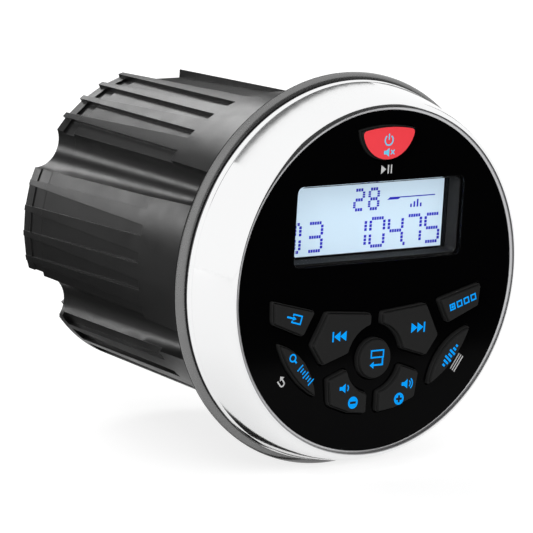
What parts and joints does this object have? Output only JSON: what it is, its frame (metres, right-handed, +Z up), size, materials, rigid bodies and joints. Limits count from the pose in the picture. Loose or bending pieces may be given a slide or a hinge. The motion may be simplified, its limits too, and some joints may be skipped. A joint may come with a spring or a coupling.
{
  "type": "marine stereo",
  "caption": "Round gauge-style marine stereo head unit with a lit display, press keys, a bright trim ring and a ribbed body that passes through a dash panel.",
  "frame": {"origin": "centre of the panel seat, the rear face of the gasket, on the axis of the body", "axes": "+Y along the body to the rear, the face looks along -Y, +Z up as the display reads"},
  "size_m": [0.1082, 0.1232, 0.1082],
  "materials": {
    "bright_trim": "polished",
    "gloss_face": "gloss",
    "clear_lens": "clear",
    "grey_frame": "matte",
    "display_glass": "lit pale blue",
    "light_guide": "satin",
    "key_rubber": "matte",
    "red_key": "satin",
    "black_rubber": "matte",
    "gasket_rubber": "matte",
    "black_moulding": "matte",
    "body_black": "satin with a fine grain",
    "board_green": "satin",
    "plated_steel": "plated",
    "bare_aluminium": "extruded",
    "capacitor_can": "sleeved",
    "wound_wire": "enamelled wire"
  },
  "bodies": {
    "unit": {"trim_bezel": "bright_trim", "face_panel": "gloss_face", "display_lens": "clear_lens", "lcd_frame": "grey_frame", "lcd_panel": "display_glass", "lcd_backlight": "light_guide", "keypad_mat": "black_rubber", "key_board": "board_green", "key_switches": "plated_steel", "key_board_screws": "plated_steel", "front_carrier": "black_moulding", "face_seal": "black_rubber", "panel_gasket": "gasket_rubber", "rear_housing": "body_black", "flange_screws": "plated_steel", "rear_seal": "black_rubber", "rear_cover": "body_black", "rear_cover_screws": "plated_steel", "main_board": "board_green", "main_board_screws": "plated_steel", "board_link": "black_moulding", "amplifier_chip": "black_moulding", "heat_sink": "bare_aluminium", "capacitors": "capacitor_can", "power_choke": "wound_wire", "tuner_module": "plated_steel", "wireless_module": "board_green", "harness_socket": "black_moulding", "antenna_socket": "plated_steel", "clamp_studs": "plated_steel"},
    "key_power": {"key_power": "red_key"},
    "key_source": {"key_source": "key_rubber"},
    "key_preset": {"key_preset": "key_rubber"},
    "key_previous": {"key_previous": "key_rubber"},
    "key_next": {"key_next": "key_rubber"},
    "key_band": {"key_band": "key_rubber"},
    "key_audio": {"key_audio": "key_rubber"},
    "key_enter": {"key_enter": "key_rubber"},
    "key_volume_down": {"key_volume_down": "key_rubber"},
    "key_volume_up": {"key_volume_up": "key_rubber"}
  },
  "joints": [
    {"name": "power_press", "type": "slide", "parent": "unit", "child": "key_power", "axis": [0, 1, 0], "range_m": [0, 0.001], "stiffness_N_per_m": 1500},
    {"name": "source_press", "type": "slide", "parent": "unit", "child": "key_source", "axis": [0, 1, 0], "range_m": [0, 0.001], "stiffness_N_per_m": 1500},
    {"name": "preset_press", "type": "slide", "parent": "unit", "child": "key_preset", "axis": [0, 1, 0], "range_m": [0, 0.001], "stiffness_N_per_m": 1500},
    {"name": "previous_press", "type": "slide", "parent": "unit", "child": "key_previous", "axis": [0, 1, 0], "range_m": [0, 0.001], "stiffness_N_per_m": 1500},
    {"name": "next_press", "type": "slide", "parent": "unit", "child": "key_next", "axis": [0, 1, 0], "range_m": [0, 0.001], "stiffness_N_per_m": 1500},
    {"name": "band_press", "type": "slide", "parent": "unit", "child": "key_band", "axis": [0, 1, 0], "range_m": [0, 0.001], "stiffness_N_per_m": 1500},
    {"name": "audio_press", "type": "slide", "parent": "unit", "child": "key_audio", "axis": [0, 1, 0], "range_m": [0, 0.001], "stiffness_N_per_m": 1500},
    {"name": "enter_press", "type": "slide", "parent": "unit", "child": "key_enter", "axis": [0, 1, 0], "range_m": [0, 0.001], "stiffness_N_per_m": 1500},
    {"name": "volume_down_press", "type": "slide", "parent": "unit", "child": "key_volume_down", "axis": [0, 1, 0], "range_m": [0, 0.001], "stiffness_N_per_m": 1500},
    {"name": "volume_up_press", "type": "slide", "parent": "unit", "child": "key_volume_up", "axis": [0, 1, 0], "range_m": [0, 0.001], "stiffness_N_per_m": 1500}
  ]
}
